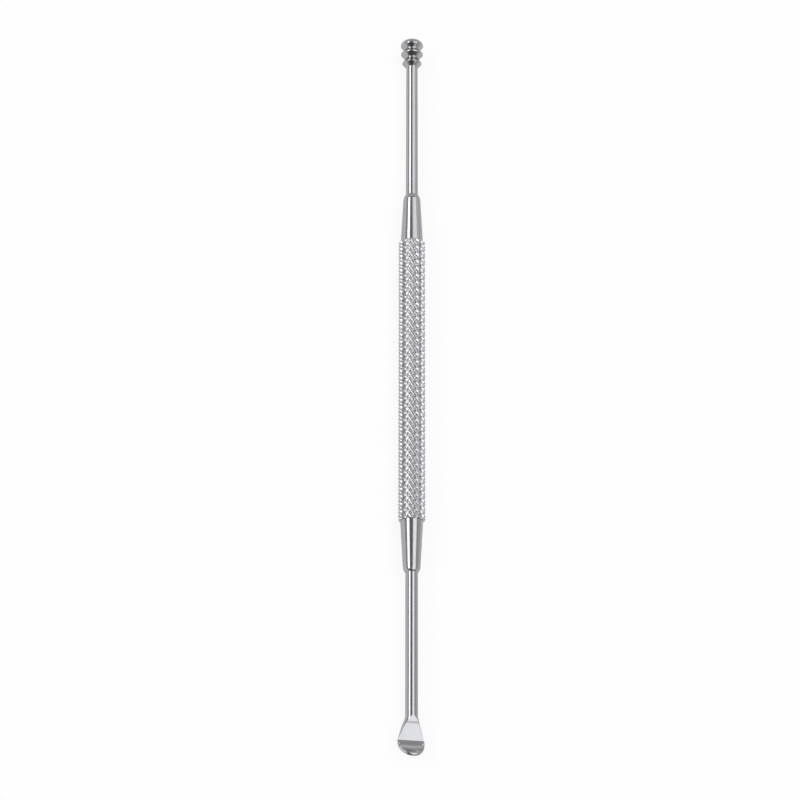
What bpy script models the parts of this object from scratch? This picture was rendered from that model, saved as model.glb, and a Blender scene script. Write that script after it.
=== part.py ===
"""Double-ended ear pick in polished stainless steel.

A knurled grip barrel carries a smooth cone in each end. One cone holds a thin rod
with a three-ring head, the other a thin rod that is flattened, flared and bent up
into a small scoop. The tool lies along Y with the rings toward +Y, and the scoop
opens upwards. The origin is on the surface that it lies on, below the middle.
Lengths are in metres and angles in degrees.
"""

import math

import bmesh
import bpy

# Grip barrel, the knurled bar in the middle
BARREL_LENGTH = 0.04658
BARREL_DIAMETER = 0.00431
BARREL_END_DIAMETER = 0.00378
BARREL_CHAMFER_LENGTH = 0.0005
KNURL_STARTS = 15
KNURL_PITCH = 0.0012
KNURL_DEPTH = 0.00027
CHAMFER_KNURL_SHARE = 0.4

# End cones, each with a spigot for the barrel's socket and a bore for its rod
CONE_LENGTH = 0.00828
CONE_BASE_DIAMETER = 0.00355
CONE_SMALL_DIAMETER = 0.00273
CONE_SHOULDER_LENGTH = 0.0009
SHOULDER_SQUARENESS = 1.6
SPIGOT_DIAMETER = 0.0026
SPIGOT_LENGTH = 0.0055
SPIGOT_CHAMFER = 0.0003
ROD_BORE_DEPTH = 0.0062

# Rods
ROD_DIAMETER = 0.00194
ROD_END_CHAMFER = 0.0002
RING_ROD_SHOWN = 0.02276
RING_ROD_END_DIAMETER = 0.00186
SCOOP_ROD_SHOWN = 0.02261

# Fits between the pieces
PRESS_CLEARANCE = 0.00001
SEAT_GAP = 0.00002
SOCKET_END_GAP = 0.0005

# Ring head, from the rod to the rounded tip
LOW_RING_WIDTH = 0.0017
LOW_RING_DIAMETER = 0.00314
LOW_GROOVE_DIAMETER = 0.00236
MIDDLE_RING_WIDTH = 0.00158
MIDDLE_RING_DIAMETER = 0.00357
HIGH_GROOVE_DIAMETER = 0.00286
BEAD_NECK_LENGTH = 0.00079
BEAD_DIAMETER = 0.00363
BEAD_DOME_LENGTH = 0.0011
DOME_SQUARENESS = 2.1
TIP_FLAT_DIAMETER = 0.0002
LOW_CREST_SHARE = 0.52
MIDDLE_CREST_SHARE = 0.54
LOW_BELLY_LATENESS = 0.9
LOW_BACK_LATENESS = 1.0
MIDDLE_BELLY_LATENESS = 1.9
MIDDLE_BACK_LATENESS = 1.3
BEAD_BELLY_LATENESS = 1.7

# Scoop, flattened from the rod's end and bent up
FACET_ANGLE = 19.5
FACET_LENGTH = 0.00366
SCOOP_WIDTH = 0.00422
FLARE_FULLNESS = 0.35
WIDEST_PAST_CREASE = 0.0004
SIDE_DROP = 0.00035
SIDE_DROP_LENGTH = 0.0016
SHOULDER_GAIN_SHARE = 0.2
SHOULDER_GAIN_LENGTH = 0.0009
SHOULDER_LOSS_SHARE = 0.48
SHOULDER_LOSS_START = 0.0015
SHOULDER_LOSS_LENGTH = 0.002
CREASE_RADIUS = 0.00012
LIP_START_ANGLE = 20.0
LIP_END_ANGLE = 50.0
LIP_LENGTH = 0.00258
TIP_STRAY = 0.00016
LIP_THICKNESS = 0.0006
LIP_THINNING_LENGTH = 0.0009
TROUGH_DEPTH = 0.00022
TROUGH_EASE_LENGTH = 0.002
PADDLE_SQUARENESS = 3.6
CREASE_SQUARENESS = 8.0
LIP_SQUARENESS = 3.0

# Steps of the round and curved surfaces
ROUND_STEPS = 2 * KNURL_STARTS
FLANK_STEPS = 6
DOME_STEPS = 7
SHOULDER_STEPS = 5
FACET_STATIONS = 14
CREASE_STATIONS = 3
LIP_STATIONS = 14
LIP_CAP_SHARE = 0.35
RING_TOP_STEPS = 12
RING_BASE_STEPS = 24
FIRST_FACET_ANGLE = 10.0
STATION_POWER = 1.35

BARREL_HALF = BARREL_LENGTH / 2
CONE_END = BARREL_HALF + CONE_LENGTH
ROD_RADIUS = ROD_DIAMETER / 2

# The lowest crests are a pair, half a step to each side of straight down
AXIS_HEIGHT = BARREL_DIAMETER / 2 * math.cos(math.pi / ROUND_STEPS)


def clear_scene():
    """Remove every object, so that the model starts from nothing."""
    for thing in list(bpy.data.objects):
        bpy.data.objects.remove(thing, do_unlink=True)


def steel(name, tone, roughness):
    """Bare metal of one tone and roughness."""
    material = bpy.data.materials.new(name)
    material.use_nodes = True
    surface = material.node_tree.nodes["Principled BSDF"]
    surface.inputs["Base Color"].default_value = (*tone, 1.0)
    surface.inputs["Metallic"].default_value = 1.0
    surface.inputs["Roughness"].default_value = roughness
    material.diffuse_color = (*tone, 1.0)
    return material


def skin(name, rings, material, sharp_angle):
    """One closed solid through rings of points of equal count, capped at both ends.

    A ring is a list of (x, along, height) places, with along measured from the
    middle toward the rings and height from the tool's axis.
    """
    mesh = bmesh.new()
    loops = []
    for ring in rings:
        loops.append([mesh.verts.new((x, along, AXIS_HEIGHT + height)) for x, along, height in ring])
    for lower, upper in zip(loops, loops[1:]):
        for index, corner in enumerate(lower):
            following = (index + 1) % len(lower)
            mesh.faces.new((corner, lower[following], upper[following], upper[index]))
    mesh.faces.new(loops[0])
    mesh.faces.new(loops[-1])
    return finished(name, mesh, material, sharp_angle)


def finished(name, mesh, material, sharp_angle):
    """Turn the faces outwards and make the object."""
    bmesh.ops.recalc_face_normals(mesh, faces=mesh.faces)
    data = bpy.data.meshes.new(name)
    mesh.to_mesh(data)
    mesh.free()
    data.materials.append(material)
    data.shade_smooth()
    data.set_sharp_from_angle(angle=math.radians(sharp_angle))
    piece = bpy.data.objects.new(name, data)
    bpy.context.scene.collection.objects.link(piece)
    return piece


def circle(along, radius):
    """A ring round the axis, in step with the knurl's columns."""
    points = []
    for step in range(ROUND_STEPS):
        turn = 2 * math.pi * step / ROUND_STEPS
        points.append((radius * math.cos(turn), along, radius * math.sin(turn)))
    return points


def turned(name, profile, material, side):
    """A round solid from (along, radius) points, on the +1 or -1 side of the middle."""
    rings = [circle(side * along, radius) for along, radius in profile]
    return skin(name, rings, material, sharp_angle=32)


def knurled_circle(along, radius, depth, row):
    """A ring whose points stand on crests and in groove crossings in turn."""
    points = []
    for step in range(ROUND_STEPS):
        turn = 2 * math.pi * step / ROUND_STEPS
        reach = radius - depth * ((step + row) % 2)
        points.append((reach * math.cos(turn), along, reach * math.sin(turn)))
    return points


def grip_barrel(material):
    """Knurled bar with a chamfer and a blind socket at each end.

    Two sets of grooves cross at the knurl's angle and leave four-sided points. A
    point's top lies in the middle of four groove crossings, so a grid of half
    pitches, with each cell folded between its two crossings, gives every flank.
    """
    outer = BARREL_DIAMETER / 2
    end_radius = BARREL_END_DIAMETER / 2
    socket_radius = SPIGOT_DIAMETER / 2 + PRESS_CLEARANCE
    socket_bottom = BARREL_HALF - SPIGOT_LENGTH - SOCKET_END_GAP
    knurl_half = BARREL_HALF - BARREL_CHAMFER_LENGTH
    rows = 2 * round(2 * knurl_half / KNURL_PITCH)
    chamfer_depth = KNURL_DEPTH * CHAMFER_KNURL_SHARE
    chamfer_middle = BARREL_HALF - BARREL_CHAMFER_LENGTH / 2
    chamfer_radius = (outer + end_radius) / 2

    rings = [
        circle(-socket_bottom, socket_radius),
        circle(-BARREL_HALF, socket_radius),
        circle(-BARREL_HALF, end_radius),
        knurled_circle(-chamfer_middle, chamfer_radius, chamfer_depth, 1),
    ]
    first_row = len(rings) - 1
    for row in range(rows + 1):
        along = -knurl_half + 2 * knurl_half * row / rows
        rings.append(knurled_circle(along, outer, KNURL_DEPTH, row))
    rings.append(knurled_circle(chamfer_middle, chamfer_radius, chamfer_depth, rows + 1))
    last_row = len(rings) - 1
    rings += [
        circle(BARREL_HALF, end_radius),
        circle(BARREL_HALF, socket_radius),
        circle(socket_bottom, socket_radius),
    ]

    mesh = bmesh.new()
    loops = []
    for ring in rings:
        loops.append([mesh.verts.new((x, along, AXIS_HEIGHT + height)) for x, along, height in ring])
    for number, (lower, upper) in enumerate(zip(loops, loops[1:])):
        knurled = first_row <= number < last_row
        for index in range(ROUND_STEPS):
            following = (index + 1) % ROUND_STEPS
            corners = (lower[index], lower[following], upper[following], upper[index])
            if not knurled:
                mesh.faces.new(corners)
                continue
            # The fold joins the two corners that lie in groove crossings
            turn_back = (index + number - first_row) % 2
            folded = corners[turn_back:] + corners[:turn_back]
            mesh.faces.new((folded[0], folded[1], folded[2]))
            mesh.faces.new((folded[0], folded[2], folded[3]))
    mesh.faces.new(loops[0])
    mesh.faces.new(loops[-1])
    return finished("grip_barrel", mesh, material, sharp_angle=12)


def end_cone(name, material, side):
    """Tapered collar: spigot, seat face, long taper, rounded shoulder and blind bore."""
    spigot = SPIGOT_DIAMETER / 2
    base = CONE_BASE_DIAMETER / 2
    small = CONE_SMALL_DIAMETER / 2
    bore = ROD_RADIUS + PRESS_CLEARANCE
    seat = BARREL_HALF + SEAT_GAP
    spigot_end = BARREL_HALF - SPIGOT_LENGTH
    shoulder_start = CONE_END - CONE_SHOULDER_LENGTH
    profile = [
        (spigot_end, spigot - SPIGOT_CHAMFER),
        (spigot_end + SPIGOT_CHAMFER, spigot),
        (seat, spigot),
        (seat, base),
    ]
    for step in range(SHOULDER_STEPS + 1):
        turn = math.pi / 2 * step / SHOULDER_STEPS
        across = signed_power(math.cos(turn), 2 / SHOULDER_SQUARENESS)
        along = shoulder_start + CONE_SHOULDER_LENGTH * signed_power(math.sin(turn), 2 / SHOULDER_SQUARENESS)
        profile.append((along, bore + (small - bore) * across))
    profile.append((CONE_END - ROD_BORE_DEPTH, bore))
    return turned(name, profile, material, side)


def flank(start, crest, lateness):
    """Profile points from the round bottom of a groove up to a round crest.

    At a lateness of 1 the flank is steepest halfway, and above that nearer the crest.
    """
    slopes = [math.sin(math.pi * ((step + 0.5) / FLANK_STEPS) ** lateness) for step in range(FLANK_STEPS)]
    points = []
    for step in range(1, FLANK_STEPS + 1):
        rise = sum(slopes[:step]) / sum(slopes)
        along = start[0] + (crest[0] - start[0]) * step / FLANK_STEPS
        points.append((along, start[1] + (crest[1] - start[1]) * rise))
    return points


def fall(crest, end, lateness):
    """Profile points from a crest down to the next groove."""
    back = flank(end, crest, lateness)[:-1]
    return back[::-1] + [end]


def rod_seat():
    """The hidden end of a rod, chamfered, in its cone's bore."""
    start = CONE_END - ROD_BORE_DEPTH + SEAT_GAP
    return [(start, ROD_RADIUS - ROD_END_CHAMFER), (start + ROD_END_CHAMFER, ROD_RADIUS)]


def ring_probe(material):
    """Rod with its head turned in one: two rings and a rounded bead on the tip."""
    head_base = CONE_END + RING_ROD_SHOWN
    low_crest = (head_base + LOW_RING_WIDTH * LOW_CREST_SHARE, LOW_RING_DIAMETER / 2)
    low_groove = (head_base + LOW_RING_WIDTH, LOW_GROOVE_DIAMETER / 2)
    middle_crest = (low_groove[0] + MIDDLE_RING_WIDTH * MIDDLE_CREST_SHARE, MIDDLE_RING_DIAMETER / 2)
    high_groove = (low_groove[0] + MIDDLE_RING_WIDTH, HIGH_GROOVE_DIAMETER / 2)
    bead_crest = (high_groove[0] + BEAD_NECK_LENGTH, BEAD_DIAMETER / 2)

    profile = rod_seat()
    profile.append((CONE_END, ROD_RADIUS))
    profile.append((head_base, RING_ROD_END_DIAMETER / 2))
    profile += flank(profile[-1], low_crest, LOW_BELLY_LATENESS)
    profile += fall(low_crest, low_groove, LOW_BACK_LATENESS)
    profile += flank(low_groove, middle_crest, MIDDLE_BELLY_LATENESS)
    profile += fall(middle_crest, high_groove, MIDDLE_BACK_LATENESS)
    profile += flank(high_groove, bead_crest, BEAD_BELLY_LATENESS)
    last_turn = math.acos((TIP_FLAT_DIAMETER / BEAD_DIAMETER) ** (DOME_SQUARENESS / 2))
    for step in range(1, DOME_STEPS + 1):
        turn = last_turn * step / DOME_STEPS
        along = bead_crest[0] + BEAD_DOME_LENGTH * math.sin(turn) ** (2 / DOME_SQUARENESS)
        profile.append((along, bead_crest[1] * math.cos(turn) ** (2 / DOME_SQUARENESS)))
    return turned("ring_probe", profile, material, side=1)


def signed_power(value, power):
    """A power that keeps the sign of its base."""
    return math.copysign(abs(value) ** power, value)


def smooth(part):
    """Ease from 0 to 1."""
    part = min(max(part, 0.0), 1.0)
    return part * part * (3 - 2 * part)


def between(part, first, last):
    """A value part of the way from the first to the last."""
    return first + (last - first) * part


def scoop_reach(travel):
    """Half width of the scoop at a travel from the facet's start: a flare, then half an oval."""
    widest = FACET_LENGTH + WIDEST_PAST_CREASE
    widening = SCOOP_WIDTH / 2 - ROD_RADIUS
    if travel < widest:
        part = travel / widest
        return ROD_RADIUS + widening * between(FLARE_FULLNESS * part, part, math.sin(math.pi / 2 * part))
    past = (travel - widest) / (FACET_LENGTH + LIP_LENGTH - widest)
    return SCOOP_WIDTH / 2 * math.sqrt(max(1 - past * past, 0))


def cut_oval(along, reach, cut, middle, shoulder, squareness):
    """Section of the rod, whose top is cut flat.

    It is widest at the middle's height, with an oval shoulder above that place and
    a squarer belly below it.
    """
    corner_angle = min(math.asin(min((cut - middle) / shoulder, 1)), math.radians(90 - FIRST_FACET_ANGLE))
    corner = reach * math.cos(corner_angle)
    points = []
    for step in range(RING_TOP_STEPS):
        x = corner * signed_power(math.cos(math.pi * step / RING_TOP_STEPS), 2 / LIP_SQUARENESS)
        crown = middle + shoulder * math.sqrt(1 - (x / reach) ** 2)
        points.append((x, -along, min(crown, cut)))
    sweep = math.pi + 2 * corner_angle
    for step in range(RING_BASE_STEPS):
        turn = math.pi - corner_angle + sweep * step / RING_BASE_STEPS
        if math.sin(turn) > 0:
            x = reach * math.cos(turn)
            height = min(middle + shoulder * math.sin(turn), cut)
        else:
            x = reach * signed_power(math.cos(turn), 2 / squareness)
            height = middle + (middle + ROD_RADIUS) * signed_power(math.sin(turn), 2 / squareness)
        points.append((x, -along, height))
    return points


def lip_ring(along, height, lean, reach, thickness, crown, trough, squareness, stray):
    """Section of the bent lip: rounded edges, and a trough across its width.

    Lean is how far the section has turned from upright, and crown is how much of
    the thickness lies above the widest place. Stray is how far the middle of the
    hand-bent lip has gone to one side.
    """
    outward = (math.sin(lean), -math.cos(lean))
    points = []

    def place(x, depth):
        sunk = depth + trough * (1 - (2 * x / SCOOP_WIDTH) ** 2)
        points.append((x + stray, -(along + outward[0] * sunk), height + outward[1] * sunk))

    for step in range(RING_TOP_STEPS):
        x = reach * signed_power(math.cos(math.pi * step / RING_TOP_STEPS), 2 / LIP_SQUARENESS)
        place(x, crown * (1 - (1 - abs(x / reach) ** squareness) ** (1 / squareness)))
    for step in range(RING_BASE_STEPS):
        turn = math.pi * step / RING_BASE_STEPS
        x = -reach * signed_power(math.cos(turn), 2 / LIP_SQUARENESS)
        place(x, crown + (thickness - crown) * math.sin(turn) ** (2 / LIP_SQUARENESS))
    return points


def facet_rings():
    """Sections from the rod's hidden end to the crease, and the last section's sizes."""
    drop = math.radians(FACET_ANGLE)
    facet_start = CONE_END + SCOOP_ROD_SHOWN
    rings = [cut_oval(along, radius, radius, 0, radius, 2) for along, radius in rod_seat()]
    for station in range(FACET_STATIONS + 1):
        travel = FACET_LENGTH * (station / FACET_STATIONS) ** STATION_POWER
        along = facet_start + travel * math.cos(drop)
        cut = ROD_RADIUS - travel * math.sin(drop)
        middle = -SIDE_DROP * smooth(travel / SIDE_DROP_LENGTH)
        gain = 1 + SHOULDER_GAIN_SHARE * smooth(travel / SHOULDER_GAIN_LENGTH)
        loss = 1 - SHOULDER_LOSS_SHARE * smooth((travel - SHOULDER_LOSS_START) / SHOULDER_LOSS_LENGTH)
        squareness = between(smooth(travel / FACET_LENGTH), 2, PADDLE_SQUARENESS)
        rings.append(cut_oval(along, scoop_reach(travel), cut, middle, ROD_RADIUS * gain * loss, squareness))
    return rings, along, cut, middle


def lip_stops(crease_length):
    """Travels past the facet's end at which the lip has a section."""
    stops = [crease_length * station / CREASE_STATIONS for station in range(1, CREASE_STATIONS + 1)]
    for station in range(1, LIP_STATIONS + 1):
        turn = math.pi / 2 * station / (LIP_STATIONS + LIP_CAP_SHARE)
        stops.append(crease_length + (LIP_LENGTH - crease_length) * math.sin(turn))
    return stops


def ear_scoop(material):
    """Rod whose end is flattened by a slanting facet, flared, creased, and curled up as a lip."""
    rings, along, cut, middle = facet_rings()
    paddle_thickness = cut + ROD_RADIUS
    paddle_crown = cut - middle
    drop = math.radians(FACET_ANGLE)
    first_lift = math.radians(LIP_START_ANGLE)
    last_lift = math.radians(LIP_END_ANGLE)
    crease_length = CREASE_RADIUS * (drop + first_lift)
    heading = -drop
    passed = 0.0
    for number, stop in enumerate(lip_stops(crease_length)):
        if number < CREASE_STATIONS:
            turned_to = between(stop / crease_length, -drop, first_lift)
            lean = first_lift * stop / crease_length
        else:
            turned_to = between((stop - crease_length) / (LIP_LENGTH - crease_length), first_lift, last_lift)
            lean = turned_to
        along += (stop - passed) * math.cos((heading + turned_to) / 2)
        cut += (stop - passed) * math.sin((heading + turned_to) / 2)
        heading = turned_to
        passed = stop

        # The lip's edge is rounded off toward the tip
        thinning = smooth(stop / LIP_THINNING_LENGTH)
        thickness = between(thinning, paddle_thickness, LIP_THICKNESS)
        crown = between(thinning, paddle_crown, LIP_THICKNESS / 2)
        inset = min((LIP_LENGTH - stop) / (LIP_THICKNESS / 2), 1)
        fullness = math.sqrt(1 - (1 - inset) ** 2)
        sunk = crown * (1 - fullness)
        rings.append(
            lip_ring(
                along + sunk * math.sin(lean),
                cut - sunk * math.cos(lean),
                lean=lean,
                reach=scoop_reach(FACET_LENGTH + stop),
                thickness=thickness * fullness,
                crown=crown * fullness,
                trough=TROUGH_DEPTH * smooth(stop / TROUGH_EASE_LENGTH),
                squareness=between(thinning, CREASE_SQUARENESS, LIP_SQUARENESS),
                stray=TIP_STRAY * (stop / LIP_LENGTH) ** 2,
            )
        )
    return skin("ear_scoop", rings, material, sharp_angle=32)


def build():
    """Make the five pieces."""
    clear_scene()
    polished = (0.74, 0.74, 0.76)
    grip_barrel(steel("knurled_steel", (0.68, 0.68, 0.71), 0.24))
    end_cone("ring_end_cone", steel("ring_cone_steel", polished, 0.12), side=1)
    end_cone("scoop_end_cone", steel("scoop_cone_steel", polished, 0.12), side=-1)
    ring_probe(steel("ring_probe_steel", polished, 0.1))
    ear_scoop(steel("ear_scoop_steel", polished, 0.1))


build()
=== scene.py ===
import math

import bpy
from mathutils import Matrix, Vector


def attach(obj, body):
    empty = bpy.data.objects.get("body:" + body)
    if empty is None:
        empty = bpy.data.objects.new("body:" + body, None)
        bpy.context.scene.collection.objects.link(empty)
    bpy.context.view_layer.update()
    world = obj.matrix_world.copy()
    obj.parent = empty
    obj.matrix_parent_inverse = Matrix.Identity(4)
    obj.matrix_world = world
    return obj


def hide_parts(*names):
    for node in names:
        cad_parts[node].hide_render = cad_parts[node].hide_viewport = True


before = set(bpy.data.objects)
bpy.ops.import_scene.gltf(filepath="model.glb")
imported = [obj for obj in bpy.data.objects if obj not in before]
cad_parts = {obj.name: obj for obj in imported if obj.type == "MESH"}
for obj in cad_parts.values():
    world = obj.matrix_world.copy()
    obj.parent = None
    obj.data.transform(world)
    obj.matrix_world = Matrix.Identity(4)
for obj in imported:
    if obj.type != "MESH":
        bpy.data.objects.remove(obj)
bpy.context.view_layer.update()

# Grip barrel: the stainless bar that the fingers hold. A pair of wheels rolls two crossed sets of
# helical grooves into it and burnishes their walls, and tumbling dulls the diamonds' points. The
# grooves' colour is also painted lighter toward their bottoms: a painted fill light against the
# shade the diamonds cast on each other. The bar's ends are chamfered and drilled, and a cone is
# pressed into each.
barrel_half = 0.02329
knurl_half = 0.02317
barrel_radius = 0.002155
barrel_end_radius = 0.00204
socket_radius = 0.00131
socket_depth = 0.006
knurl_starts = 15
knurl_turns_long = 38
knurl_depth = 0.0004
second_groove_share = 0.9
cells_per_groove = 8
knurl_sharp_angle = 25
# The solid's bar has 30 points round, and lies on the flat between two of them.
axis_height = barrel_radius * math.cos(math.radians(6))

mm_per_metre = 1000
grazing_tint = 0.7
# Groove colour: part burnished steel, part painted fill light that lifts the shade inside the
# grooves.
groove_painted_fill_tone = (0.66, 0.66, 0.675)
point_tone = (0.46, 0.46, 0.468)
groove_roughness = 0.2
point_roughness = 0.28
groove_mask_bottom = 1.76
knurl_smudges_per_mm = 0.22
knurl_film_dulling = 0.06
tumbled_grain_per_metre = 9000
tumbled_grain_depth = 0.000006


def shell(name, rings, sharp_angle, folds=False):
    """A closed piece through rings of points of equal count, capped at both ends."""
    count = len(rings[0])
    points = [point for ring in rings for point in ring]
    faces = [list(range(count))[::-1]]
    for row in range(len(rings) - 1):
        for step in range(count):
            after = (step + 1) % count
            corners = [row * count + step, row * count + after]
            corners += [(row + 1) * count + after, (row + 1) * count + step]
            if folds:
                faces += folded_cell(points, corners)
            else:
                faces.append(corners)
    faces.append(list(range(len(points) - count, len(points))))
    mesh = bpy.data.meshes.new(name)
    mesh.from_pydata(points, [], faces)
    mesh.validate()
    mesh.shade_smooth()
    mesh.set_sharp_from_angle(angle=math.radians(sharp_angle))
    piece = bpy.data.objects.new(name, mesh)
    bpy.context.scene.collection.objects.link(piece)
    return piece


def groove_cut(turn, along):
    """How deep the knurl is cut at a place: 0 on a diamond's top, 1 at the bottom of a groove."""
    around = knurl_starts * turn / (2 * math.pi)
    lengthwise = knurl_turns_long * (along + knurl_half) / (2 * knurl_half)
    first = groove_wall(around - lengthwise)
    second = groove_wall(around + lengthwise)
    return max(first, second_groove_share * second)


def groove_wall(place):
    """Depth of one groove across its spacing: two flat walls that meet at its bottom."""
    off = abs(place - math.floor(place) - 0.5)
    return 1 - off / 0.5


def bar_radius(turn, along):
    """Radius of the knurled bar, whose grooves run out through a small end chamfer."""
    knurled = barrel_radius - knurl_depth * groove_cut(turn, along)
    past = (abs(along) - knurl_half) / (barrel_half - knurl_half)
    chamfer = barrel_radius - (barrel_radius - barrel_end_radius) * max(past, 0)
    return min(knurled, chamfer)


def around_axis(radius, turn, along):
    """The place at a radius and turn from the tool's axis."""
    return (radius * math.cos(turn), along, axis_height + radius * math.sin(turn))


def folded_cell(points, corners):
    """Two triangles for a small knurl cell, folded along the diagonal that follows the groove."""
    height = []
    for corner in corners:
        x, _, z = points[corner]
        height.append(math.hypot(x, z - axis_height))
    x = sum(points[corner][0] for corner in corners) / 4
    along = sum(points[corner][1] for corner in corners) / 4
    z = sum(points[corner][2] for corner in corners) / 4
    middle = bar_radius(math.atan2(z - axis_height, x), along)
    if abs((height[0] + height[2]) / 2 - middle) < abs((height[1] + height[3]) / 2 - middle):
        return [[corners[0], corners[1], corners[2]], [corners[0], corners[2], corners[3]]]
    return [[corners[0], corners[1], corners[3]], [corners[1], corners[2], corners[3]]]


def knurled_rings():
    """Rings of the barrel from the bottom of one socket, over its skin, to the other."""
    columns = knurl_starts * cells_per_groove
    turns = [2 * math.pi * step / columns for step in range(columns)]
    row_length = 2 * knurl_half / (knurl_turns_long * cells_per_groove)
    rows_from_middle = knurl_turns_long * cells_per_groove // 2
    chamfer_rows = math.ceil((barrel_half - knurl_half) / row_length)
    socket_bottom = barrel_half - socket_depth
    places = []
    for row in range(rows_from_middle + 1):
        places.append(row_length * row)
    for row in range(1, chamfer_rows):
        places.append(knurl_half + row_length * row)
    places.append(barrel_half)
    places = [-place for place in reversed(places)] + places[1:]
    rings = [[around_axis(socket_radius, turn, -socket_bottom) for turn in turns]]
    rings.append([around_axis(socket_radius, turn, -barrel_half) for turn in turns])
    for place in places:
        rings.append([around_axis(bar_radius(turn, place), turn, place) for turn in turns])
    rings.append([around_axis(socket_radius, turn, barrel_half) for turn in turns])
    rings.append([around_axis(socket_radius, turn, socket_bottom) for turn in turns])
    return rings


def put(tree, kind, place, **settings):
    """A node of one kind, with its own settings made."""
    node = tree.nodes.new(kind)
    node.location = place
    for setting, value in settings.items():
        setattr(node, setting, value)
    return node


def new_group(name, inputs, outputs):
    """An empty shader node group with named number sockets, and its two end nodes."""
    group = bpy.data.node_groups.new(name, "ShaderNodeTree")
    for socket, value in inputs.items():
        made = group.interface.new_socket(socket, in_out="INPUT", socket_type="NodeSocketFloat")
        made.default_value = value
    for socket in outputs:
        group.interface.new_socket(socket, in_out="OUTPUT", socket_type="NodeSocketFloat")
    start = put(group, "NodeGroupInput", (-900, 0))
    end = put(group, "NodeGroupOutput", (700, 0))
    return group, start, end


def depth_mask_group():
    """1 on the skin of a round piece and 0 at its grooves' bottoms, by distance from the axis."""
    group, start, end = new_group(
        "groove_depth_mask",
        {"Bottom radius mm": 1.9, "Skin radius mm": 2.2},
        ["Skin"],
    )
    place = put(group, "ShaderNodeTexCoord", (-900, 250))
    parts = put(group, "ShaderNodeSeparateXYZ", (-700, 250))
    lifted = put(group, "ShaderNodeMath", (-500, 200), operation="SUBTRACT")
    lifted.inputs[1].default_value = axis_height
    across = put(group, "ShaderNodeCombineXYZ", (-300, 250))
    reach = put(group, "ShaderNodeVectorMath", (-100, 250), operation="LENGTH")
    in_mm = put(group, "ShaderNodeMath", (100, 250), operation="MULTIPLY")
    in_mm.inputs[1].default_value = mm_per_metre
    mask = put(group, "ShaderNodeMapRange", (350, 100), interpolation_type="SMOOTHSTEP")
    group.links.new(place.outputs["Object"], parts.inputs[0])
    group.links.new(parts.outputs["Z"], lifted.inputs[0])
    group.links.new(parts.outputs["X"], across.inputs["X"])
    group.links.new(lifted.outputs[0], across.inputs["Z"])
    group.links.new(across.outputs[0], reach.inputs[0])
    group.links.new(reach.outputs["Value"], in_mm.inputs[0])
    group.links.new(in_mm.outputs[0], mask.inputs["Value"])
    group.links.new(start.outputs["Bottom radius mm"], mask.inputs["From Min"])
    group.links.new(start.outputs["Skin radius mm"], mask.inputs["From Max"])
    group.links.new(mask.outputs["Result"], end.inputs["Skin"])
    return group


def handling_group():
    """Where fingers have left a thin film: 0 on clean metal and 1 on a smudge."""
    lowest_threshold = 0.2
    threshold_rise = 0.5
    smudge_edge = 0.25
    group, start, end = new_group(
        "handling_film", {"Smudges per mm": 0.35, "Cover": 0.4}, ["Film"]
    )
    place = put(group, "ShaderNodeTexCoord", (-900, 250))
    per_metre = put(group, "ShaderNodeMath", (-700, 0), operation="MULTIPLY")
    per_metre.inputs[1].default_value = mm_per_metre
    cloud = put(group, "ShaderNodeTexNoise", (-300, 200))
    cloud.inputs["Detail"].default_value = 3.0
    cloud.inputs["Roughness"].default_value = 0.55
    bare = put(group, "ShaderNodeMath", (-300, -100), operation="SUBTRACT")
    bare.inputs[0].default_value = 1.0
    low = put(group, "ShaderNodeMath", (-100, -100), operation="MULTIPLY_ADD")
    low.inputs[1].default_value = threshold_rise
    low.inputs[2].default_value = lowest_threshold
    high = put(group, "ShaderNodeMath", (100, -100), operation="ADD")
    high.inputs[1].default_value = smudge_edge
    edge = put(group, "ShaderNodeMapRange", (350, 100), interpolation_type="SMOOTHSTEP")
    group.links.new(start.outputs["Smudges per mm"], per_metre.inputs[0])
    group.links.new(place.outputs["Object"], cloud.inputs["Vector"])
    group.links.new(per_metre.outputs[0], cloud.inputs["Scale"])
    group.links.new(start.outputs["Cover"], bare.inputs[1])
    group.links.new(bare.outputs[0], low.inputs[0])
    group.links.new(low.outputs[0], high.inputs[0])
    group.links.new(cloud.outputs[0], edge.inputs["Value"])
    group.links.new(low.outputs[0], edge.inputs["From Min"])
    group.links.new(high.outputs[0], edge.inputs["From Max"])
    group.links.new(edge.outputs["Result"], end.inputs["Film"])
    return group


groove_depth_mask = depth_mask_group()
handling_film = handling_group()


def use(tree, group, place):
    """A group placed in a material."""
    return put(tree, "ShaderNodeGroup", place, node_tree=group)


def steel(name):
    """A new all-metal material: its tree, and its shader."""
    material = bpy.data.materials.new(name)
    material.use_nodes = True
    tree = material.node_tree
    surface = tree.nodes["Principled BSDF"]
    surface.location = (600, 0)
    tree.nodes["Material Output"].location = (900, 0)
    surface.inputs["Metallic"].default_value = 1.0
    surface.inputs["Specular Tint"].default_value = (grazing_tint, grazing_tint, grazing_tint, 1)
    return material, tree, surface


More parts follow.
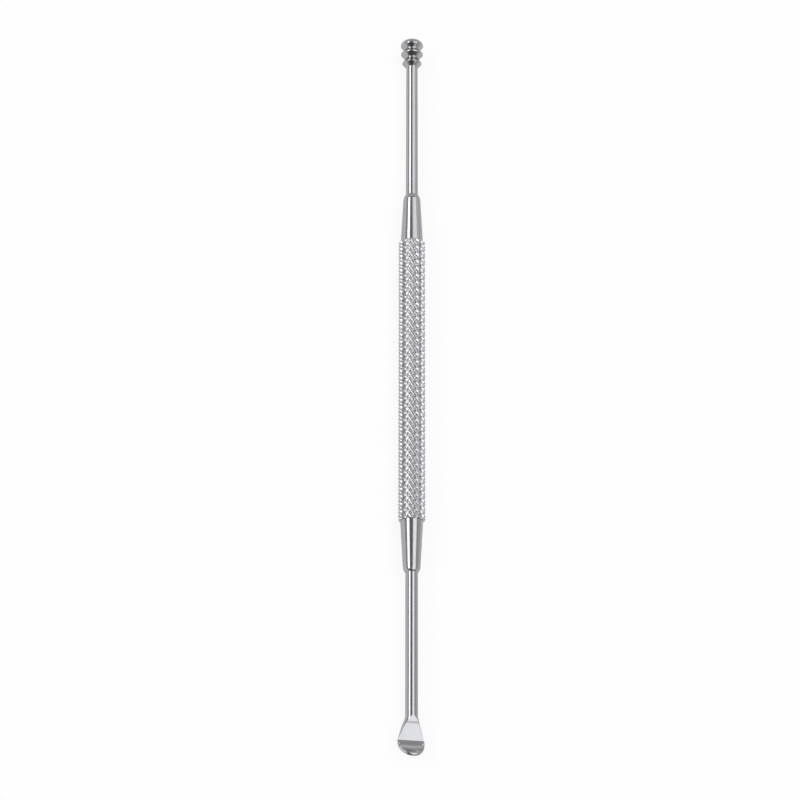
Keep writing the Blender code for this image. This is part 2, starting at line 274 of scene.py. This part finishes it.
def knurled_steel():
    """Rolled steel: burnished grooves painted lighter toward their bottoms, as a painted fill
    light against the shade the diamonds cast on each other; duller points; a light finger film.
    """
    material, tree, surface = steel("knurled_steel_rolled")
    depth = use(tree, groove_depth_mask, (-600, 200))
    depth.inputs["Bottom radius mm"].default_value = groove_mask_bottom
    depth.inputs["Skin radius mm"].default_value = barrel_radius * mm_per_metre
    film = use(tree, handling_film, (-600, -50))
    film.inputs["Smudges per mm"].default_value = knurl_smudges_per_mm
    # Painted fill light: the colour goes lighter toward the groove bottoms, by distance from the
    # axis.
    tone = put(tree, "ShaderNodeMix", (-300, 250), data_type="RGBA")
    tone.inputs[6].default_value = (*groove_painted_fill_tone, 1)
    tone.inputs[7].default_value = (*point_tone, 1)
    rough = put(tree, "ShaderNodeMapRange", (-300, 0))
    rough.inputs["To Min"].default_value = groove_roughness
    rough.inputs["To Max"].default_value = point_roughness
    filmed = put(tree, "ShaderNodeMath", (-100, 0), operation="MULTIPLY_ADD")
    filmed.inputs[1].default_value = knurl_film_dulling
    grain = put(tree, "ShaderNodeTexNoise", (-300, -300))
    grain.inputs["Scale"].default_value = tumbled_grain_per_metre
    grain.inputs["Detail"].default_value = 3.0
    spot = put(tree, "ShaderNodeTexCoord", (-500, -300))
    bump = put(tree, "ShaderNodeBump", (100, -300))
    bump.inputs["Strength"].default_value = 0.25
    bump.inputs["Distance"].default_value = tumbled_grain_depth
    tree.links.new(depth.outputs["Skin"], tone.inputs[0])
    tree.links.new(tone.outputs[2], surface.inputs["Base Color"])
    tree.links.new(depth.outputs["Skin"], rough.inputs["Value"])
    tree.links.new(film.outputs["Film"], filmed.inputs[0])
    tree.links.new(rough.outputs["Result"], filmed.inputs[2])
    tree.links.new(filmed.outputs[0], surface.inputs["Roughness"])
    tree.links.new(spot.outputs["Object"], grain.inputs["Vector"])
    tree.links.new(grain.outputs[0], bump.inputs["Height"])
    tree.links.new(bump.outputs["Normal"], surface.inputs["Normal"])
    return material


barrel = shell("knurled_barrel", knurled_rings(), sharp_angle=knurl_sharp_angle, folds=True)
barrel.data.materials.append(knurled_steel())
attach(barrel, "root")
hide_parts("grip_barrel")

# End cones: collars turned from bar to a long taper with a rounded shoulder, and cloth-polished.
# Each is drilled for a rod and has a spigot, which is pressed into the barrel's socket until the
# cone's base bears on the barrel's end.
cone_length = 0.00828
cone_base_radius = 0.001775
cone_small_radius = 0.001365
cone_shoulder_length = 0.0009
shoulder_squareness = 1.6
cone_base_break = 0.00004
cone_bore_radius = 0.00098
cone_bore_depth = 0.0062
spigot_radius = 0.0013
spigot_length = 0.0055
spigot_chamfer = 0.0003
seat_gap = 0.00002
cone_seat = barrel_half + seat_gap
cone_end = barrel_half + cone_length
taper_steps = 24
shoulder_steps = 16
turned_sides = 96
turned_sharp_angle = 28

polished_tone = (0.415, 0.415, 0.425)
film_warmth = (0.95, 0.95, 0.94)
film_dulling = 0.05
streak_swing = 0.25
polish_mark_depth = 0.000002
cone_roughness = 0.15
cone_mark_strength = 0.3


def turned_piece(name, profile, side):
    """A round piece from (along, radius) points, toward the rings at side 1, the scoop at -1."""
    turns = [2 * math.pi * step / turned_sides for step in range(turned_sides)]
    rings = []
    for along, radius in profile:
        rings.append([around_axis(radius, side * turn, side * along) for turn in turns])
    return shell(name, rings, sharp_angle=turned_sharp_angle)


def cone_profile():
    """Spigot, seat, taper, rounded shoulder and bore of a cone, from the barrel outwards."""
    spigot_end = barrel_half - spigot_length
    profile = [
        (spigot_end, spigot_radius - spigot_chamfer),
        (spigot_end + spigot_chamfer, spigot_radius),
        (cone_seat, spigot_radius),
        (cone_seat, cone_base_radius - cone_base_break),
        (cone_seat + cone_base_break, cone_base_radius),
    ]
    shoulder_start = cone_end - cone_shoulder_length
    for step in range(1, taper_steps):
        part = step / taper_steps
        radius = cone_base_radius + (cone_small_radius - cone_base_radius) * part
        profile.append((cone_seat + (shoulder_start - cone_seat) * part, radius))
    for step in range(shoulder_steps + 1):
        turn = math.pi / 2 * step / shoulder_steps
        along = shoulder_start + cone_shoulder_length * math.sin(turn) ** (2 / shoulder_squareness)
        across = max(math.cos(turn), 0) ** (2 / shoulder_squareness)
        profile.append((along, cone_bore_radius + (cone_small_radius - cone_bore_radius) * across))
    profile.append((cone_end - cone_bore_depth, cone_bore_radius))
    return profile


def polish_marks_group():
    """Fine marks that run round the tool, left by the cloth as the piece spun in the lathe."""
    group, start, end = new_group(
        "polish_marks",
        {"Marks per mm": 8.0, "Marks round per mm": 0.3},
        ["Height", "Streak"],
    )
    place = put(group, "ShaderNodeTexCoord", (-900, 250))
    per_metre = put(group, "ShaderNodeMath", (-700, 0), operation="MULTIPLY")
    per_metre.inputs[1].default_value = mm_per_metre
    round_metre = put(group, "ShaderNodeMath", (-700, -150), operation="MULTIPLY")
    round_metre.inputs[1].default_value = mm_per_metre
    scale = put(group, "ShaderNodeCombineXYZ", (-500, 0))
    stretched = put(group, "ShaderNodeVectorMath", (-300, 200), operation="MULTIPLY")
    fine = put(group, "ShaderNodeTexNoise", (-100, 250))
    fine.inputs["Scale"].default_value = 1.0
    fine.inputs["Detail"].default_value = 3.0
    fine.inputs["Roughness"].default_value = 0.6
    broad = put(group, "ShaderNodeTexNoise", (-100, -50))
    broad.inputs["Scale"].default_value = 0.17
    broad.inputs["Detail"].default_value = 2.0
    group.links.new(start.outputs["Marks per mm"], per_metre.inputs[0])
    group.links.new(start.outputs["Marks round per mm"], round_metre.inputs[0])
    group.links.new(round_metre.outputs[0], scale.inputs["X"])
    group.links.new(per_metre.outputs[0], scale.inputs["Y"])
    group.links.new(round_metre.outputs[0], scale.inputs["Z"])
    group.links.new(place.outputs["Object"], stretched.inputs[0])
    group.links.new(scale.outputs[0], stretched.inputs[1])
    group.links.new(stretched.outputs[0], fine.inputs["Vector"])
    group.links.new(stretched.outputs[0], broad.inputs["Vector"])
    group.links.new(fine.outputs[0], end.inputs["Height"])
    group.links.new(broad.outputs[0], end.inputs["Streak"])
    return group


polish_marks = polish_marks_group()


def polished_steel(name, tone, roughness, mark_strength):
    """Cloth-polished steel: fine marks round the piece, streaks in its gloss, a finger film."""
    filmed_tone = [channel * share for channel, share in zip(tone, film_warmth)]
    material, tree, surface = steel(name)
    marks = use(tree, polish_marks, (-600, 200))
    film = use(tree, handling_film, (-600, -50))
    wiped = put(tree, "ShaderNodeMix", (-300, 250), data_type="RGBA")
    wiped.inputs[6].default_value = (*tone, 1)
    wiped.inputs[7].default_value = (*filmed_tone, 1)
    streaked = put(tree, "ShaderNodeMapRange", (-300, 0))
    streaked.inputs["From Min"].default_value = 0.3
    streaked.inputs["From Max"].default_value = 0.7
    streaked.inputs["To Min"].default_value = roughness * (1 - streak_swing)
    streaked.inputs["To Max"].default_value = roughness * (1 + streak_swing)
    filmed = put(tree, "ShaderNodeMath", (-100, 0), operation="MULTIPLY_ADD")
    filmed.inputs[1].default_value = film_dulling
    bump = put(tree, "ShaderNodeBump", (100, -300))
    bump.inputs["Strength"].default_value = mark_strength
    bump.inputs["Distance"].default_value = polish_mark_depth
    tree.links.new(film.outputs["Film"], wiped.inputs[0])
    tree.links.new(wiped.outputs[2], surface.inputs["Base Color"])
    tree.links.new(marks.outputs["Streak"], streaked.inputs["Value"])
    tree.links.new(film.outputs["Film"], filmed.inputs[0])
    tree.links.new(streaked.outputs["Result"], filmed.inputs[2])
    tree.links.new(filmed.outputs[0], surface.inputs["Roughness"])
    tree.links.new(marks.outputs["Height"], bump.inputs["Height"])
    tree.links.new(bump.outputs["Normal"], surface.inputs["Normal"])
    return material


cone_steel = polished_steel(
    "cone_steel_polished", polished_tone, cone_roughness, cone_mark_strength
)
for side, cone_node in ((1, "ring_end_cone"), (-1, "scoop_end_cone")):
    cone = turned_piece(cone_node + "_turned", cone_profile(), side)
    cone.data.materials.append(cone_steel)
    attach(cone, "root")
    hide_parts(cone_node)

# Ring probe: a thin rod with its head turned in one with it, for rolling wax out of the ear.
# Two rings and a rounded bead stand on the rod's end, with grooves cut between them, and the
# blank end is pressed into its cone's bore.
rod_radius = 0.00097
rod_head_radius = 0.00093
rod_end_chamfer = 0.0002
rod_seat_start = cone_end - cone_bore_depth + seat_gap
ring_rod_shown = 0.02276
head_base = cone_end + ring_rod_shown
low_ring_width = 0.0017
low_ring_radius = 0.00157
low_crest_share = 0.52
low_groove_radius = 0.00113
middle_ring_width = 0.00158
middle_ring_radius = 0.001785
middle_crest_share = 0.54
high_groove_radius = 0.00127
bead_neck_length = 0.00079
bead_radius = 0.001815
dome_length = 0.0011
dome_squareness = 2.1
tip_flat_radius = 0.0001
base_arc = 0.0003
base_crest_arc = 0.00015
groove_arc = 0.00025
crest_arc = 0.00022
low_belly_slope = 42
low_back_slope = 33.5
middle_belly_slope = 45
middle_back_slope = 43.5
bead_belly_slope = 42
rod_steps = 24
arc_steps = 12
dome_steps = 20
tip_roughness = 0.12
tip_mark_strength = 0.25


def flank(groove, crest, slope, bottom_arc, top_arc):
    """Profile points from a round groove up to a round crest, with a straight wall between."""
    way = math.copysign(1, crest[0] - groove[0])
    points = []
    for step in range(1, arc_steps + 1):
        turn = math.radians(slope) * step / arc_steps
        along = groove[0] + way * bottom_arc * math.sin(turn)
        points.append((along, groove[1] + bottom_arc * (1 - math.cos(turn))))
    for step in range(arc_steps + 1):
        turn = math.radians(slope) * (1 - step / arc_steps)
        along = crest[0] - way * top_arc * math.sin(turn)
        points.append((along, crest[1] - top_arc * (1 - math.cos(turn))))
    return points


def ring_back(groove, crest, slope):
    """The same flank in the other direction, from just past a crest down to its groove."""
    return flank(groove, crest, slope, groove_arc, crest_arc)[:-1][::-1] + [groove]


def ring_head_profile():
    """The rod from its seat, the two rings, and the bead with its dome."""
    low_crest = (head_base + low_ring_width * low_crest_share, low_ring_radius)
    low_groove = (head_base + low_ring_width, low_groove_radius)
    middle_crest = (low_groove[0] + middle_ring_width * middle_crest_share, middle_ring_radius)
    high_groove = (low_groove[0] + middle_ring_width, high_groove_radius)
    bead_crest = (high_groove[0] + bead_neck_length, bead_radius)
    profile = [
        (rod_seat_start, rod_radius - rod_end_chamfer),
        (rod_seat_start + rod_end_chamfer, rod_radius),
    ]
    for step in range(rod_steps + 1):
        radius = rod_radius + (rod_head_radius - rod_radius) * step / rod_steps
        profile.append((cone_end + ring_rod_shown * step / rod_steps, radius))
    profile += flank(profile[-1], low_crest, low_belly_slope, base_arc, base_crest_arc)
    profile += ring_back(low_groove, low_crest, low_back_slope)
    profile += flank(low_groove, middle_crest, middle_belly_slope, groove_arc, crest_arc)
    profile += ring_back(high_groove, middle_crest, middle_back_slope)
    profile += flank(high_groove, bead_crest, bead_belly_slope, groove_arc, crest_arc)
    last_turn = math.acos((tip_flat_radius / bead_radius) ** (dome_squareness / 2))
    for step in range(1, dome_steps + 1):
        turn = last_turn * step / dome_steps
        along = bead_crest[0] + dome_length * math.sin(turn) ** (2 / dome_squareness)
        profile.append((along, bead_radius * math.cos(turn) ** (2 / dome_squareness)))
    return profile


tip_steel = polished_steel("tip_steel_polished", polished_tone, tip_roughness, tip_mark_strength)
probe = turned_piece("ring_probe_turned", ring_head_profile(), 1)
probe.data.materials.append(tip_steel)
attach(probe, "root")
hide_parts("ring_probe")

# Ear scoop: the other thin rod, whose end is struck flat and flared in a die, bent up as a lip,
# and polished all over. Its blank end is pressed into the other cone.
scoop_rod_shown = 0.02261
facet_drop = math.radians(19.5)
facet_length = 0.00366
facet_lead = 0.00035
facet_start_share = 0.1
facet_edge_width = 0.00003
facet_dip = math.radians(10.5)
facet_dip_at = 0.00098
facet_dip_half = 0.00042
scoop_half_width = 0.00211
widest_past_crease = 0.0004
flare_fullness = 0.35
side_drop = 0.00035
side_drop_length = 0.0016
shoulder_gain = 0.2
shoulder_gain_length = 0.0009
shoulder_loss = 0.48
shoulder_loss_start = 0.0015
shoulder_loss_length = 0.002
steepest_corner = math.radians(80)
paddle_squareness = 3.6
crease_radius = 0.00012
crease_squareness = 8
lip_start_lift = math.radians(20)
lip_end_lift = math.radians(50)
lip_length = 0.00258
lip_thickness = 0.0006
lip_thinning_length = 0.0009
lip_squareness = 3
lip_belly_squareness = 3
tip_stray = 0.00016
trough_depth = 0.00022
trough_ease_length = 0.002
facet_steps = 48
facet_crowding = 1.35
crease_steps = 6
lip_steps = 36
short_of_tip = 0.4
top_steps = 32
base_steps = 48
edge_crowding = 2 / 3
scoop_sharp_angle = 30


def signed_power(value, power):
    """A power that keeps the sign of its base."""
    return math.copysign(abs(value) ** power, value)


def eased(part):
    """Ease from 0 to 1."""
    part = min(max(part, 0.0), 1.0)
    return part * part * (3 - 2 * part)


def between(part, first, last):
    """A value part of the way from the first to the last."""
    return first + (last - first) * part


def scoop_reach(travel):
    """Half width at a travel from the facet's start: a flare, then half an oval."""
    widest = facet_length + widest_past_crease
    if travel < widest:
        part = max(travel, 0) / widest
        flare = between(flare_fullness * part, part, math.sin(math.pi / 2 * part))
        return rod_radius + (scoop_half_width - rod_radius) * flare
    past = (travel - widest) / (facet_length + lip_length - widest)
    return scoop_half_width * math.sqrt(max(1 - past * past, 0))


def facet_section(along, reach, cut, middle, shoulder, squareness):
    """Section of the rod's flattened end. Its top is cut flat, and it is widest at the middle's
    height, with an oval shoulder above and a squarer belly below."""
    corner_turn = min(math.asin(min((cut - middle) / shoulder, 1)), steepest_corner)
    corner = reach * math.cos(corner_turn)
    points = []
    for step in range(top_steps):
        x = corner * signed_power(math.cos(math.pi * step / top_steps), edge_crowding)
        crown = middle + shoulder * math.sqrt(1 - (x / reach) ** 2)
        points.append((x, -along, axis_height + min(crown, cut)))
    sweep = math.pi + 2 * corner_turn
    for step in range(base_steps):
        turn = math.pi - corner_turn + sweep * step / base_steps
        if math.sin(turn) > 0:
            x = reach * math.cos(turn)
            height = min(middle + shoulder * math.sin(turn), cut)
        else:
            x = reach * signed_power(math.cos(turn), 2 / squareness)
            depth = signed_power(math.sin(turn), 2 / squareness)
            height = middle + (middle + rod_radius) * depth
        points.append((x, -along, axis_height + height))
    return points


def rod_section(along, radius):
    """Round section of the scoop's rod."""
    return facet_section(along, radius, radius, 0, radius, 2)


def lip_section(along, height, lean, reach, thickness, crown, trough, squareness):
    """Section of the bent lip, with rounded edges and a trough across its width."""
    places = []
    for step in range(top_steps):
        turn = math.pi * step / top_steps
        x = reach * signed_power(math.cos(turn), edge_crowding)
        places.append((x, crown * (1 - (1 - abs(x / reach) ** squareness) ** (1 / squareness))))
    for step in range(base_steps):
        turn = math.pi * step / base_steps
        x = -reach * signed_power(math.cos(turn), 2 / lip_belly_squareness)
        belly = math.sin(turn) ** (2 / lip_belly_squareness)
        places.append((x, crown + (thickness - crown) * belly))
    points = []
    for x, depth in places:
        sunk = depth + trough * (1 - (x / scoop_half_width) ** 2)
        place = -(along + math.sin(lean) * sunk)
        points.append((x, place, axis_height + height - math.cos(lean) * sunk))
    return points


def scoop_rings():
    """Sections from the rod's hidden end to the tip of the lip."""
    rings = [
        rod_section(rod_seat_start, rod_radius - rod_end_chamfer),
        rod_section(rod_seat_start + rod_end_chamfer, rod_radius),
    ]
    for step in range(rod_steps):
        rings.append(rod_section(cone_end + scoop_rod_shown * step / rod_steps, rod_radius))
    along = cone_end + scoop_rod_shown - facet_lead
    rings.append(rod_section(along - facet_edge_width, rod_radius))

    cut = rod_radius
    travel = -facet_lead
    for station in range(facet_steps + 1):
        way = (station / facet_steps) ** facet_crowding
        reached = -facet_lead + (facet_length + facet_lead) * way
        middle_travel = (travel + reached) / 2
        dip = max(1 - ((middle_travel - facet_dip_at) / facet_dip_half) ** 2, 0)
        started = eased((middle_travel + facet_lead) / (2 * facet_lead))
        drop = facet_drop * between(started, facet_start_share, 1) + facet_dip * dip
        along += (reached - travel) * math.cos(drop)
        cut -= (reached - travel) * math.sin(drop)
        travel = reached
        middle = -side_drop * eased(travel / side_drop_length)
        gained = 1 + shoulder_gain * eased(travel / shoulder_gain_length)
        lost = shoulder_loss * eased((travel - shoulder_loss_start) / shoulder_loss_length)
        shoulder = rod_radius * gained * (1 - lost)
        squareness = between(eased(travel / facet_length), 2, paddle_squareness)
        rings.append(facet_section(along, scoop_reach(travel), cut, middle, shoulder, squareness))

    end_thickness = cut + rod_radius
    end_crown = cut - middle
    heading = -facet_drop
    crease_length = crease_radius * (facet_drop + lip_start_lift)
    stops = [crease_length * step / crease_steps for step in range(1, crease_steps + 1)]
    for station in range(1, lip_steps + 1):
        oval_turn = math.pi / 2 * station / (lip_steps + short_of_tip)
        stops.append(crease_length + (lip_length - crease_length) * math.sin(oval_turn))
    passed = 0.0
    for index, stop in enumerate(stops):
        if index < crease_steps:
            turned = between(stop / crease_length, -facet_drop, lip_start_lift)
            lean = lip_start_lift * stop / crease_length
        else:
            part = (stop - crease_length) / (lip_length - crease_length)
            turned = between(part, lip_start_lift, lip_end_lift)
            lean = turned
        middle_heading = (heading + turned) / 2
        along += (stop - passed) * math.cos(middle_heading)
        cut += (stop - passed) * math.sin(middle_heading)
        heading = turned
        passed = stop
        thinning = eased(stop / lip_thinning_length)
        thickness = between(thinning, end_thickness, lip_thickness)
        crown = between(thinning, end_crown, lip_thickness / 2)
        inset = min((lip_length - stop) / (lip_thickness / 2), 1)
        fullness = math.sqrt(1 - (1 - inset) ** 2)
        sunk = crown * (1 - fullness)
        ring = lip_section(
            along + sunk * math.sin(lean),
            cut - sunk * math.cos(lean),
            lean,
            scoop_reach(facet_length + stop),
            thickness * fullness,
            crown * fullness,
            trough_depth * eased(stop / trough_ease_length),
            between(thinning, crease_squareness, lip_squareness),
        )
        stray = tip_stray * (stop / lip_length) ** 2
        rings.append([(x + stray, y, z) for x, y, z in ring])
    return rings


scoop = shell("ear_scoop_struck", scoop_rings(), sharp_angle=scoop_sharp_angle)
scoop.data.materials.append(tip_steel)
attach(scoop, "root")
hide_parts("ear_scoop")

# Studio: a white table below a dim ceiling and paler walls. A narrow bright panel hangs on the
# tool's left and a broad cool one, in three lengths, on its right. Two weak panels fill in from
# low on the right and from the far end, and the room behind the camera is unlit.
floor_half = 4.0
floor_tone = 0.95
white_share = 0.88
panel_distance = 0.9
plain_white = (1.0, 1.0, 1.0)
cool_white = (0.96, 0.965, 1.0)
bounced_white = (0.95, 0.955, 1.0)
wall_tone = (0.62, 0.62, 0.63)
wall_top = 0.55
ceiling_tone = (0.26, 0.26, 0.26)
ceiling_edge = 0.87
wall_strength = 0.9
right_wall_gain = 0.15
unlit_side = (0, -0.95, 0.31)
unlit_edge = 0.72
unlit_middle = 0.87
unlit_strength = 0.2


def studio_floor():
    """A wide white table top."""
    corners = [
        (-floor_half, -floor_half, 0),
        (floor_half, -floor_half, 0),
        (floor_half, floor_half, 0),
        (-floor_half, floor_half, 0),
    ]
    mesh = bpy.data.meshes.new("studio_floor")
    mesh.from_pydata(corners, [], [(0, 1, 2, 3)])
    floor = bpy.data.objects.new("studio_floor", mesh)
    bpy.context.scene.collection.objects.link(floor)
    material = bpy.data.materials.new("white_table_top")
    material.use_nodes = True
    tree = material.node_tree
    surface = tree.nodes["Principled BSDF"]
    surface.inputs["Base Color"].default_value = (floor_tone, floor_tone, floor_tone, 1)
    surface.inputs["Roughness"].default_value = 0.9
    surface.inputs["Specular IOR Level"].default_value = 0.1
    seen = put(tree, "ShaderNodeLightPath", (-200, 400))
    direct = put(tree, "ShaderNodeMath", (0, 400), operation="MAXIMUM")
    share = put(tree, "ShaderNodeMath", (200, 400), operation="MULTIPLY")
    share.inputs[1].default_value = white_share
    white = put(tree, "ShaderNodeEmission", (200, 200))
    mixed = put(tree, "ShaderNodeMixShader", (450, 200))
    tree.links.new(seen.outputs["Is Camera Ray"], direct.inputs[0])
    tree.links.new(seen.outputs["Is Glossy Ray"], direct.inputs[1])
    tree.links.new(direct.outputs[0], share.inputs[0])
    tree.links.new(share.outputs[0], mixed.inputs[0])
    tree.links.new(surface.outputs[0], mixed.inputs[1])
    tree.links.new(white.outputs[0], mixed.inputs[2])
    tree.links.new(mixed.outputs[0], tree.nodes["Material Output"].inputs["Surface"])
    mesh.materials.append(material)
    return floor


def placed(thing, right, up, back, spot):
    """Set a lamp or camera at a spot, looking away from its back direction."""
    thing.matrix_world = Matrix((
        (right.x, up.x, back.x, spot.x),
        (right.y, up.y, back.y, spot.y),
        (right.z, up.z, back.z, spot.z),
        (0, 0, 0, 1),
    ))
    bpy.context.scene.collection.objects.link(thing)


def panel(name, lean, tilt, width, length, brightness, tone):
    """A soft panel that faces the tool. Lean is from overhead toward +X and tilt toward +Y, in
    degrees. Brightness is how bright its face looks."""
    lean = math.radians(lean)
    tilt = math.radians(tilt)
    aim = Vector((
        math.sin(lean) * math.cos(tilt),
        math.sin(tilt),
        math.cos(lean) * math.cos(tilt),
    ))
    light = bpy.data.lights.new(name, "AREA")
    light.shape = "RECTANGLE"
    light.size = width
    light.size_y = length
    light.energy = brightness * math.pi * width * length
    light.color = tone
    lamp = bpy.data.objects.new(name, light)
    lamp.visible_camera = False
    side = Vector((0, 1, 0)).cross(aim).normalized()
    placed(lamp, side, aim.cross(side), aim, aim * panel_distance)


def studio_walls():
    """Dim ceiling and paler walls, by height above the table, and an unlit room behind."""
    world = bpy.data.worlds.new("studio_walls")
    world.use_nodes = True
    tree = world.node_tree
    direction = put(tree, "ShaderNodeTexCoord", (-800, 0))
    parts = put(tree, "ShaderNodeSeparateXYZ", (-600, 0))
    ramp = put(tree, "ShaderNodeValToRGB", (-400, 0))
    ramp.color_ramp.elements[0].position = wall_top
    ramp.color_ramp.elements[0].color = (*wall_tone, 1)
    ramp.color_ramp.elements[1].position = ceiling_edge
    ramp.color_ramp.elements[1].color = (*ceiling_tone, 1)
    tree.links.new(direction.outputs["Generated"], parts.inputs[0])
    tree.links.new(parts.outputs["Z"], ramp.inputs["Fac"])
    sideways = put(tree, "ShaderNodeMath", (-400, -250), operation="MULTIPLY_ADD")
    sideways.inputs[1].default_value = right_wall_gain
    sideways.inputs[2].default_value = wall_strength
    tree.links.new(parts.outputs["X"], sideways.inputs[0])
    backward = put(tree, "ShaderNodeVectorMath", (-600, -400), operation="DOT_PRODUCT")
    backward.inputs[1].default_value = unlit_side
    unlit = put(tree, "ShaderNodeMapRange", (-400, -450), interpolation_type="SMOOTHSTEP")
    unlit.inputs["From Min"].default_value = unlit_edge
    unlit.inputs["From Max"].default_value = unlit_middle
    unlit.inputs["To Min"].default_value = 1.0
    unlit.inputs["To Max"].default_value = unlit_strength
    dimmed = put(tree, "ShaderNodeMath", (-200, -300), operation="MULTIPLY")
    tree.links.new(direction.outputs["Generated"], backward.inputs[0])
    tree.links.new(backward.outputs["Value"], unlit.inputs["Value"])
    tree.links.new(sideways.outputs[0], dimmed.inputs[0])
    tree.links.new(unlit.outputs["Result"], dimmed.inputs[1])
    tree.links.new(dimmed.outputs[0], tree.nodes["Background"].inputs["Strength"])
    tree.links.new(ramp.outputs["Color"], tree.nodes["Background"].inputs["Color"])
    bpy.context.scene.world = world


studio_floor()
panel(
    "left_strip", lean=-51.5, tilt=5,
    width=0.345, length=1.17, brightness=3.1, tone=plain_white,
)
panel(
    "right_panel", lean=18, tilt=28,
    width=0.66, length=0.325, brightness=1.28, tone=cool_white,
)
panel(
    "right_panel_low", lean=18, tilt=-13,
    width=0.66, length=1.09, brightness=1.6, tone=cool_white,
)
panel(
    "right_panel_end", lean=18, tilt=-46.5,
    width=0.66, length=0.08, brightness=0.85, tone=cool_white,
)
panel(
    "right_bounce", lean=58, tilt=30,
    width=0.42, length=0.42, brightness=0.3, tone=bounced_white,
)
panel(
    "far_panel", lean=0, tilt=62,
    width=1.2, length=0.2, brightness=0.35, tone=plain_white,
)
studio_walls()

# Camera: it looks down on the tool through a long lens, from the scoop's side of overhead and a
# little from the tool's left, and is turned and aimed to frame it as the photograph does.
camera_tilt = math.radians(20.3)
camera_roll = math.radians(15)
camera_turn = math.radians(0.126)
camera_distance = 0.433
lens_length = 124.6
sensor_width = 36
aim_along = -0.00345
aim_right = -0.00184

toward = Vector((
    -math.cos(camera_tilt) * math.sin(camera_roll),
    -math.sin(camera_tilt),
    math.cos(camera_tilt) * math.cos(camera_roll),
))
level = Vector((math.cos(camera_roll), 0, math.sin(camera_roll)))
right = level * math.cos(camera_turn) + toward.cross(level) * math.sin(camera_turn)
target = Vector((0, aim_along, axis_height)) + right * aim_right
lens = bpy.data.cameras.new("photo_camera")
lens.lens = lens_length
lens.sensor_width = sensor_width
camera = bpy.data.objects.new("photo_camera", lens)
placed(camera, right, toward.cross(right), toward, target + toward * camera_distance)
bpy.context.scene.camera = camera
bpy.context.scene.view_settings.view_transform = "Standard"

bpy.context.view_layer.update()
